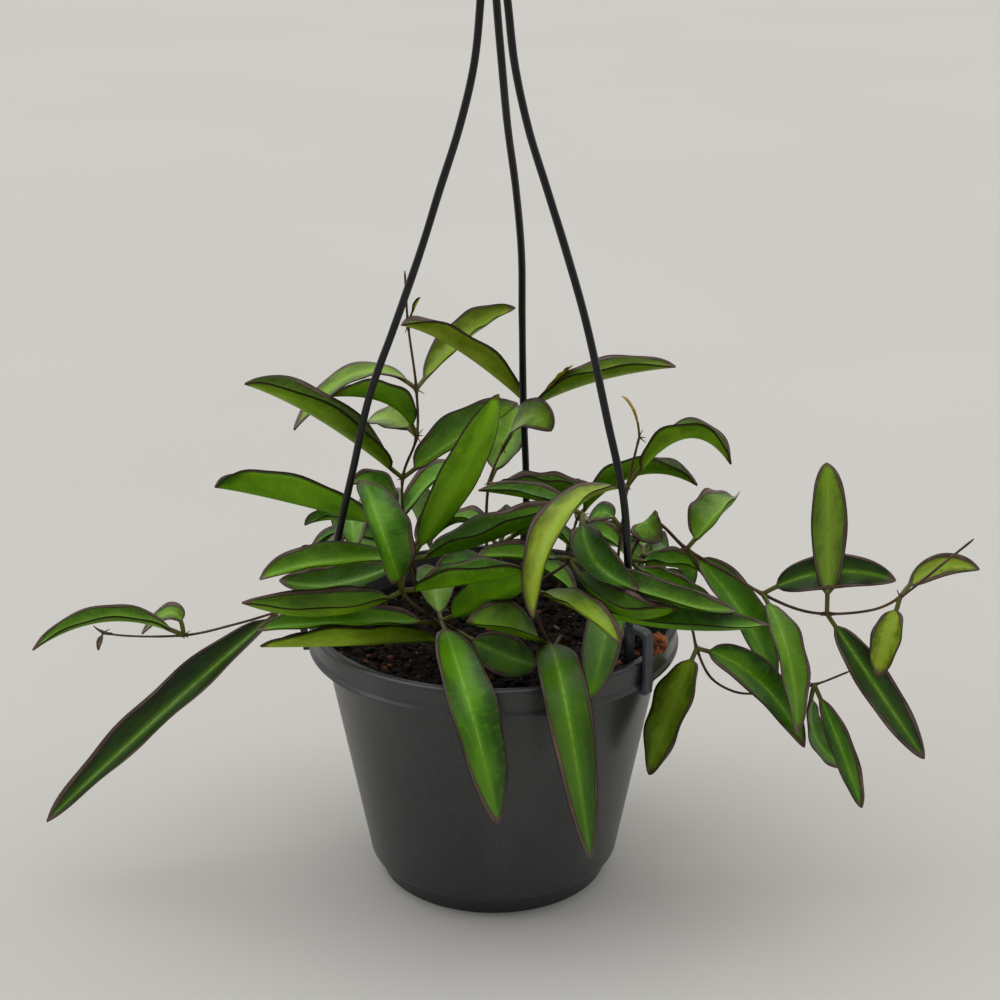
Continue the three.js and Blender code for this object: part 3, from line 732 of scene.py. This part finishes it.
# ---- Pot ----
def make_pot():
    band_bottom = POT_HEIGHT - BAND_HEIGHT
    profile = [
        (0, 0, 0),
        (FOOT_RADIUS - 0.2, 0, 0.9),
        (FOOT_RADIUS + 1, FOOT_HEIGHT, 0.4),
        (WALL_FOOT_RADIUS, FOOT_HEIGHT + 1, 1.6),
        (WALL_TOP_RADIUS, band_bottom - BAND_LEDGE, 0.4),
        (LIP_RADIUS + 0.2, band_bottom - BAND_LEDGE, 0.35),
        (LIP_RADIUS + 0.2, band_bottom + 0.4, 0.3),
        (LIP_RADIUS - 0.8, band_bottom + 1.6, 0.4),
        (LIP_RADIUS, POT_HEIGHT, 1.9),
        (LIP_RADIUS - LIP_WIDTH, POT_HEIGHT, 0.6),
        (WALL_TOP_RADIUS - WALL, band_bottom, 1),
        (WALL_FOOT_RADIUS - WALL, FOOT_HEIGHT + 1 + WALL, 1),
        (FOOT_RADIUS + 1 - WALL, FOOT_HEIGHT + WALL, 0.4),
        (FOOT_RADIUS - WALL, FLOOR, 0.8),
        (0, FLOOR, 0),
    ]
    pot = piece("plastic_pot", *lathe(rounded(profile), POT_SIDES), [POT], node="pot", slot="pot")
    drills = bmesh.new()
    for i in range(DRAIN_COUNT):
        where = around(DRAIN_CIRCLE, 2 * math.pi * (i + 0.5) / DRAIN_COUNT, FLOOR / 2) * MM
        bmesh.ops.create_cone(
            drills, cap_ends=True, segments=32, depth=3 * FLOOR * MM,
            radius1=DRAIN_RADIUS * MM, radius2=DRAIN_RADIUS * MM, matrix=Matrix.Translation(where),
        )
    cutter_mesh = bpy.data.meshes.new("drills")
    drills.to_mesh(cutter_mesh)
    drills.free()
    cutter = bpy.data.objects.new("drills", cutter_mesh)
    bpy.context.scene.collection.objects.link(cutter)
    cut = pot.modifiers.new("holes", "BOOLEAN")
    cut.operation, cut.object, cut.solver = "DIFFERENCE", cutter, "EXACT"
    apply_modifiers(pot)
    bpy.data.objects.remove(cutter)


# ---- Potting mix ----
def soil_height(x, y):
    at = Vector((x, y, 0))
    swell = math.sin(0.12 * x + 1) * math.cos(0.15 * y) + 0.6 * math.sin(0.3 * x - 0.2 * y)
    clods = 1.2 * noise.noise(at * 0.22) + 0.9 * noise.noise(at * 0.6)
    clods += 0.5 * noise.noise(at * 1.5)
    inside = max(0, min(1, (SOIL_RADIUS - math.hypot(x, y)) / 6))
    return SOIL_TOP + (1.1 * swell + clods) * inside - 0.6 * (1 - inside)


def make_soil():
    vertices = [Vector((0, 0, soil_height(0, 0)))]
    faces = []
    for i in range(1, SOIL_RINGS + 1):
        radius = SOIL_RADIUS * i / SOIL_RINGS
        for a in angles(SOIL_SIDES):
            x, y = radius * math.cos(a), radius * math.sin(a)
            vertices.append(Vector((x, y, soil_height(x, y))))
    for j in range(SOIL_SIDES):
        k = (j + 1) % SOIL_SIDES
        faces.append((0, 1 + j, 1 + k))
        for i in range(SOIL_RINGS - 1):
            a, b = 1 + i * SOIL_SIDES, 1 + (i + 1) * SOIL_SIDES
            faces.append((a + j, b + j, b + k, a + k))
    last = 1 + (SOIL_RINGS - 1) * SOIL_SIDES
    above_foot = (WALL_FOOT_RADIUS - WALL - GAP, FOOT_HEIGHT + 1 + WALL + GAP)
    for r, z in (above_foot, (FOOT_RADIUS - WALL - GAP, FLOOR + GAP)):
        start = len(vertices)
        vertices.extend(around(r, a, z) for a in angles(SOIL_SIDES))
        for j in range(SOIL_SIDES):
            k = (j + 1) % SOIL_SIDES
            faces.append((last + j, start + j, start + k, last + k))
        last = start
    faces.append(tuple(range(last + SOIL_SIDES - 1, last - 1, -1)))
    piece("potting_mix_body", vertices, faces, [SOIL], node="soil", slot="soil")


def make_crumbs():
    """Loose crumbs of mix, with some bark and a little perlite, half sunk in the surface."""
    crumbs = Shape()
    for _ in range(CRUMB_COUNT):
        r, a = (SOIL_RADIUS - 2) * math.sqrt(random.random()), random.uniform(0, 2 * math.pi)
        x, y = r * math.cos(a), r * math.sin(a)
        small = random.random() < BIG_CRUMBS_FROM
        size = random.uniform(0.6, 1.5) if small else random.uniform(1.5, 2.6)
        chance = random.random()
        kind = 2 if chance > PERLITE_FROM else 1 if chance > BARK_FROM else 0
        flat = random.uniform(0.35, 0.6) if kind == 1 else random.uniform(0.6, 1)
        shape = (size * random.uniform(0.8, 1.5), size, size * flat)
        turn = Matrix.Rotation(random.uniform(0, 6.3), 3, "Z")
        turn = turn @ Matrix.Rotation(random.uniform(-0.6, 0.6), 3, "X")
        crumbs.lump(Vector((x, y, soil_height(x, y) + 0.25 * size)), shape, turn, 0.9, kind)
    piece(
        "mix_crumbs", crumbs.vertices, crumbs.faces, [CRUMB, BARK, PERLITE], crumbs.kinds,
        slot="soil", smooth=False,
    )


def make_bark():
    chip = Shape()
    centre, size = Vector(BARK_PLACE), Vector(BARK_SIZE) / 2
    chip.lump(centre, size, Matrix.Rotation(BARK_LEAN, 3, "X"), 0.55, 0, 4)
    for i, v in enumerate(chip.vertices):
        away = (v - centre).normalized()
        chip.vertices[i] = v + away * (0.35 * noise.noise(v * 1.1) + 0.2 * noise.noise(v * 2.6))
    piece("bark_piece", chip.vertices, chip.faces, [BARK], node="bark_chip", slot="bark")


# ---- Hanger ----
def clip_outline(inner):
    """A clip from the side as (r, z): down inside the lip, over it, and hooked under its band."""
    outer, thick = LIP_RADIUS + GAP, CLIP_THICKNESS
    ceiling, bend = CLIP_TOP - thick, CLIP_TOP - CLIP_BEND
    under = POT_HEIGHT - BAND_HEIGHT - BAND_LEDGE - GAP
    outline = [(inner, CLIP_INNER_END), (inner + thick, CLIP_INNER_END)]
    outline += [(inner + thick, ceiling), (outer - thick, ceiling)]
    outline += bend_points(outline[-1], (outer, ceiling), (outer, bend), 4)
    outline += [(outer, under), (outer - CLIP_HOOK, under), (outer - CLIP_HOOK, under - thick)]
    outline += [(outer + thick, under - thick), (outer + thick, bend)]
    outline += bend_points(outline[-1], (outer + thick, CLIP_TOP), (outer - thick, CLIP_TOP), 5)
    return [*outline, (inner, CLIP_TOP)]


def make_leg(name, points):
    shape = Shape()
    line = curve_points(points, 2.5)
    shape.sweep(line, [LEG_RADIUS * (1 + 0.05 * noise.noise(p * 0.05)) for p in line], 14)
    x, y, _ = points[-1]
    outline = clip_outline(math.hypot(x, y) - CLIP_THICKNESS / 2)
    turn = Matrix.Rotation(math.atan2(y, x), 3, "Z")
    half = CLIP_WIDTH / 2
    shape.loops([[turn @ Vector((r, side, z)) for r, z in outline] for side in (half, -half)])
    strut = name.replace("leg", "strut")
    leg = piece(strut, shape.vertices, shape.faces, [HANGER], node=name, slot="hanger")
    edges = leg.modifiers.new("edges", "BEVEL")
    edges.width, edges.segments = CLIP_ROUNDING * MM, 2
    edges.limit_method, edges.angle_limit = "ANGLE", SHARP_CORNER
    apply_modifiers(leg)
    leg.data.polygons.foreach_set("use_smooth", [True] * len(leg.data.polygons))
    leg.data.set_sharp_from_angle(angle=SHARP_CORNER)


def make_hanger_head():
    profile = [
        (0, COLLAR_BOTTOM, 0),
        (COLLAR_RADIUS, COLLAR_BOTTOM, 0.8),
        (COLLAR_RADIUS - 0.5, COLLAR_BOTTOM + 0.3 * (COLLAR_TOP - COLLAR_BOTTOM), 0.5),
        (COLLAR_RADIUS - 2, COLLAR_TOP, 1),
        (0, COLLAR_TOP, 0),
    ]
    shape = Shape()
    shape.vertices, shape.faces = lathe(rounded(profile), 64)
    rod = [(0, 0, COLLAR_TOP - 4), (0, 0, COLLAR_TOP + 6)]
    for i in range(9):
        a = math.radians(-90 + HOOK_SWEEP * i / 8)
        rod.append((HOOK_BEND * math.cos(a), 0, HOOK_CENTRE_Z + HOOK_BEND * math.sin(a)))
    line = curve_points(rod, 1.5)
    radii = [HOOK_RADIUS] * len(line)
    radii[-2:] = [HOOK_RADIUS * 0.93, HOOK_RADIUS * 0.6]
    shape.sweep(line, radii, 20)
    piece("hanger_top", shape.vertices, shape.faces, [HANGER], node="hanger_head", slot="hanger")


# ---- Leaves and stems ----
def blade_rows(blade_start):
    """Where the rings stand along a leaf, from 0 to 1: a few on its stalk, then its blade's."""
    stalk = [blade_start * i / STALK_ROWS - 1e-9 for i in range(STALK_ROWS)]
    shares = [1 - (1 - i / BLADE_ROWS) ** 1.15 for i in range(BLADE_ROWS)]
    return [*stalk, *(blade_start + (1 - blade_start) * share for share in shares), 0.9985]


def blade_columns():
    """Places across a leaf, from -1 to 1, closer together near its margins."""
    shares = [j / (COLUMNS - 1) for j in range(COLUMNS)]
    return [-math.cos(math.pi * j) * 0.35 + (2 * j - 1) * 0.65 for j in shares]


def add_leaf(shape, leaf_data, rim_data, base, leaf, rng):
    """One leaf: rings from its stalk to its point, each its upper face and then its under face."""
    _, middle, tip, width, turn, channel, tint = leaf
    start, end = Vector(base), Vector(tip)
    control = 2 * Vector(middle) - (start + end) / 2
    arc = [bezier(start, control, end, i / 20) for i in range(21)]
    length = sum((b - a).length for a, b in zip(arc, arc[1:]))
    blade_start = min(0.3, PETIOLE / length)
    right = (end - start).cross(Vector((0, 0, 1))).normalized()
    lean, fold = math.radians(turn), math.radians(channel)
    seed, phase, waves = rng.random(), rng.uniform(0, 6.3), rng.uniform(2.0, 3.4)
    wave = 0.045 * width * rng.uniform(0.4, 1.3)
    small = width < SMALL_LEAF
    stalk = SMALL_STALK_HALF if small else PETIOLE_HALF

    rings = []
    for t in blade_rows(blade_start):
        s = (t - blade_start) / (1 - blade_start)
        inside = max(0.0, s)
        centre = bezier(start, control, end, t)
        along = (2 * (1 - t) * (control - start) + 2 * t * (end - control)).normalized()
        side = (right - along * right.dot(along)).normalized()
        up = side.cross(along)
        across = side * math.cos(lean) - up * math.sin(lean)
        face = up * math.cos(lean) + side * math.sin(lean)
        blade = width / 2 * inside**0.5 * (1 - inside) ** 0.65 / OUTLINE_PEAK
        half = max(blade, stalk * (1 - inside) ** 0.5)
        flatness = min(1.0, inside / 0.06)
        thick = (BLADE_THICKNESS - BLADE_THINNING * inside) * flatness * (0.5 if small else 1)
        thick += 2 * stalk * (1 - flatness)
        rise = max(0.0, half - stalk) * math.sin(fold)
        spread = half * (math.cos(fold) if half > stalk else 1)
        ripple = wave * math.sin(2 * math.pi * waves * inside + phase)
        ripple *= min(1, inside * 5) * (1 - inside) ** 0.3
        top, under = [], []
        for w in blade_columns():
            bulge = thick / 2 * math.sqrt(max(0.0, 1 - abs(w) ** (2 + 3 * flatness)))
            groove = flatness * math.exp(-((w * half / GROOVE_HALF) ** 2))
            lift = rise * (0.25 * abs(w) + 0.75 * abs(w) ** 2.2) + ripple * w * abs(w)
            spot = centre + across * (w * spread)
            top.append((spot + face * (lift + bulge - GROOVE_ABOVE * groove), w))
            under.append((spot + face * (lift - bulge - GROOVE_BELOW * groove), w))
        ring = top + under[-2:0:-1]
        rings.append([p for p, _ in ring])
        for _, w in ring:
            leaf_data.extend((s, w, seed))
            rim_data.extend(((1 - abs(w)) * half, (1 - s) * length, tint))
    shape.loops(rings, kinds=[0] * (COLUMNS - 1) + [1] * (COLUMNS - 1))


def add_roots(shape, joint, rng):
    """A few short thin roots at a joint of the stem."""
    for _ in range(rng.randint(2, 5)):
        way = Vector((rng.gauss(0, 1), rng.gauss(0, 1), rng.gauss(-0.4, 1))).normalized()
        reach = rng.uniform(2, 4.2)
        bend = Vector((rng.gauss(0, 0.4), rng.gauss(0, 0.4), rng.gauss(0, 0.4)))
        root = [joint + way * (reach * t) + bend * t * t for t in (0.1, 0.45, 0.75, 1)]
        shape.sweep(root, [0.34, 0.26, 0.2, 0.08], 5, kind=2)


def make_vine(node, vine, rng):
    shape, leaf_data, rim_data = Shape(), [], []
    path, leaves = vine["path"], vine["leaves"]
    line = curve_points([(*path[0][:2], SOIL_TOP - ROOT_DEPTH), *path], 2)
    joints = [Vector(path[i]) for i in sorted({leaf[0] for leaf in leaves})]
    radii = []
    for i, point in enumerate(line):
        taper = 1 - 0.4 * i / len(line)
        knot = sum(math.exp(-(((point - joint).length / 1.8) ** 2)) for joint in joints)
        uneven = noise.noise(point * 0.4)
        radii.append(vine["stem"] * (0.62 * taper + 0.35 * knot + 0.05 * uneven))
    radii[-1] *= 0.5
    shape.sweep(line, radii, 10, kind=2)
    for joint in joints:
        add_roots(shape, joint, rng)
    on_stem = len(shape.vertices)
    leaf_data.extend([0.0] * (3 * on_stem))
    rim_data.extend([FAR_FROM_EDGE, FAR_FROM_POINT, 0.0] * on_stem)
    for leaf in leaves:
        add_leaf(shape, leaf_data, rim_data, path[leaf[0]], leaf, rng)
    made = piece(
        node.replace("vine", "foliage"), shape.vertices, shape.faces,
        [LEAF_UPPER, LEAF_UNDER, STEM], shape.kinds, node=node, slot="foliage",
    )
    add_vectors(made, "leaf", leaf_data)
    add_vectors(made, "rim", rim_data)


make_pot()
make_soil()
make_crumbs()
make_bark()
make_hanger_head()
for name, points in LEGS.items():
    make_leg(name, points)
for number, (name, vine) in enumerate(VINES.items()):
    make_vine(name, vine, random.Random(40 + number))


# ---- Stage, light and camera ----
def make_stage(radius=9):
    mesh = bpy.data.meshes.new("floor")
    ring = [around(radius, a) for a in angles(64)]
    mesh.from_pydata(ring, [], [tuple(range(len(ring)))])
    mesh.materials.append(stage_look())
    floor = bpy.data.objects.new("floor", mesh)
    bpy.context.scene.collection.objects.link(floor)


def make_sky():
    """Soft light from all round, weaker from the front than from the back."""
    world = bpy.data.worlds.new("studio")
    world.use_nodes = True
    nodes, links = world.node_tree.nodes, world.node_tree.links
    sky = nodes["Background"]
    sky.inputs["Color"].default_value = (1, 0.985, 0.96, 1)
    facing = nodes.new("ShaderNodeTexCoord")
    parts = nodes.new("ShaderNodeSeparateXYZ")
    strength = nodes.new("ShaderNodeMapRange")
    links.new(facing.outputs["Generated"], parts.inputs[0])
    links.new(parts.outputs["Y"], strength.inputs["Value"])
    links.new(strength.outputs["Result"], sky.inputs["Strength"])
    for name, value in (("From Min", -1), ("From Max", 1), ("To Min", 0.3), ("To Max", 0.95)):
        strength.inputs[name].default_value = value
    bpy.context.scene.world = world


def add_sun(name, towards, energy):
    """Broad far light from one side, so soft that its shadows have no edge."""
    data = bpy.data.lights.new(name, "SUN")
    data.energy, data.angle, data.color = energy, math.radians(45), (1, 0.99, 0.97)
    light = bpy.data.objects.new(name, data)
    light.rotation_euler = Vector(towards).to_track_quat("Z", "Y").to_euler()
    bpy.context.scene.collection.objects.link(light)


def add_camera():
    data = bpy.data.cameras.new("camera")
    data.lens, data.sensor_width = 72, 36
    camera = bpy.data.objects.new("camera", data)
    camera.location = (0.0027, -0.746, 0.437)
    camera.rotation_euler = (math.radians(90 - 20.33), 0, 0)
    bpy.context.scene.collection.objects.link(camera)
    bpy.context.scene.camera = camera


make_stage()
make_sky()
add_sun("key", (-0.9, 0.1, 1), 0.68)
add_sun("fill", (0.8, 0.25, 1), 0.52)
add_sun("top", (-0.1, 0.2, 1), 0.42)
add_camera()
bpy.context.scene.view_settings.view_transform = "Standard"
